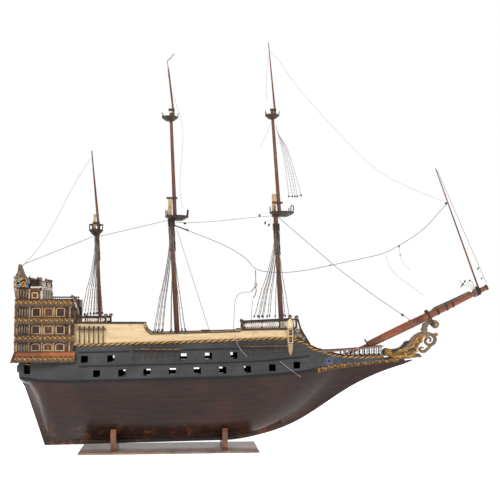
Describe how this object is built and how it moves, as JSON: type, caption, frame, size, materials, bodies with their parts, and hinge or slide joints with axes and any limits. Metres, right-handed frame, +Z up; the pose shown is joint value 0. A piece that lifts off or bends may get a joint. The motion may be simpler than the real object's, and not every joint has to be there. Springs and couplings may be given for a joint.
{
  "type": "model sailing ship on stand",
  "caption": "Three-masted model sailing ship with carved stern galleries, scroll figurehead and worn rigging, lifting off a board with two cradles.",
  "frame": {"origin": "centre of the stand board's underside", "axes": "+X towards the bow, +Y to port, +Z up"},
  "size_m": [1.1272, 0.1894, 0.9841],
  "materials": {
    "stand_wood": "satin",
    "screw_steel": "satin",
    "varnished_hull": "aged gloss varnish",
    "topside_paint": "aged satin paint on wood",
    "black_paint": "aged satin paint on wood",
    "gilding": "worn gold paint on wood",
    "rail_wood": "satin",
    "deck_wood": "matt",
    "carved_gallery": "painted and gilt carving",
    "dark_wire": "matt",
    "spar_varnish": "aged varnish",
    "tarred_line": "matt",
    "old_thread": "matt"
  },
  "bodies": {
    "stand": {"stand_board": "stand_wood", "cradle_aft": "stand_wood", "cradle_fore": "stand_wood", "cradle_screws": "screw_steel"},
    "ship": {"after_decks": "deck_wood", "balustrades": "rail_wood", "beakhead_platform": "rail_wood", "bowsprit": "spar_varnish", "bowsprit_fittings": "black_paint", "cap_rails": "black_paint", "catheads": "rail_wood", "chains": "dark_wire", "channels": "black_paint", "dangling_thread_aft": "old_thread", "dangling_thread_fore": "old_thread", "deck_bulkheads": "deck_wood", "figurehead": "gilding", "fore_loose_line": "old_thread", "fore_lower_mast": "spar_varnish", "fore_stay": "old_thread", "fore_thread_bundle": "old_thread", "fore_top": "black_paint", "fore_topgallant_mast": "spar_varnish", "fore_topgallant_stay": "old_thread", "fore_topmast": "spar_varnish", "forecastle_deck": "deck_wood", "head_rails": "black_paint", "hook_fall_aft": "old_thread", "hook_fall_fore": "old_thread", "hull_bottom": "varnished_hull", "keel": "varnished_hull", "knee_of_head": "varnished_hull", "main_fore_stay": "old_thread", "main_loose_line": "old_thread", "main_lower_mast": "spar_varnish", "main_stay": "old_thread", "main_top": "black_paint", "main_topgallant_mast": "spar_varnish", "main_topmast": "spar_varnish", "mast_caps": "black_paint", "mizzen_backstay": "old_thread", "mizzen_lower_mast": "spar_varnish", "mizzen_top": "black_paint", "mizzen_topmast": "spar_varnish", "quarter_gallery_port": "carved_gallery", "quarter_gallery_starboard": "carved_gallery", "rope_mouldings": "gilding", "shrouds": "tarred_line", "side_thread_bow": "old_thread", "side_thread_waist": "old_thread", "sprit_topmast": "spar_varnish", "stay_tackle_hook": "dark_wire", "taffrail": "carved_gallery", "taut_stays": "tarred_line", "topside_port": "topside_paint", "topside_starboard": "topside_paint", "transom": "carved_gallery", "upper_gun_deck": "deck_wood", "wales": "black_paint", "weather_deck": "deck_wood"}
  },
  "joints": [
    {"name": "ship_lift", "type": "slide", "parent": "stand", "child": "ship", "axis": [0, 0, 1], "range_m": [0, 0.15]}
  ]
}
